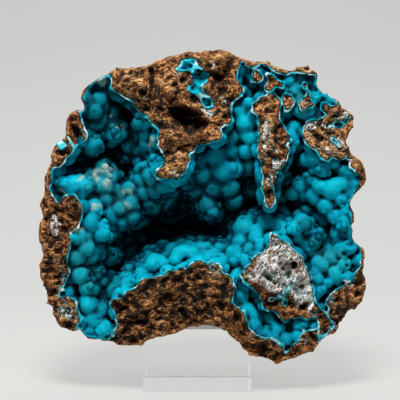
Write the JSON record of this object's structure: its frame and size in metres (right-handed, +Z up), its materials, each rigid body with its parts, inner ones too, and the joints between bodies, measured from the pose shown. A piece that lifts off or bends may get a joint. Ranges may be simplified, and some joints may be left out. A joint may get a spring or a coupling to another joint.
{
  "type": "hemimorphite specimen on a clear block",
  "caption": "Brown limonite nodule with a deep hollow lined by turquoise botryoidal hemimorphite, standing on a clear acrylic block.",
  "frame": {"origin": "middle of the bottom of the bounding box, level with the underside of the clear block", "axes": "+Z up through the stone; the broken face with the open hollow looks along -Y; +X to the right as seen from the front"},
  "size_m": [0.1472, 0.0918, 0.1571],
  "materials": {
    "limonite": "rough, porous, dull",
    "hemimorphite": "velvety botryoidal crust",
    "clear_acrylic": "clear, polished"
  },
  "bodies": {
    "root": {"limonite_matrix": "limonite", "hemimorphite_crust": "hemimorphite", "crown_pocket_crust": "hemimorphite", "left_pocket_crust": "hemimorphite", "acrylic_block": "clear_acrylic"}
  },
  "joints": []
}
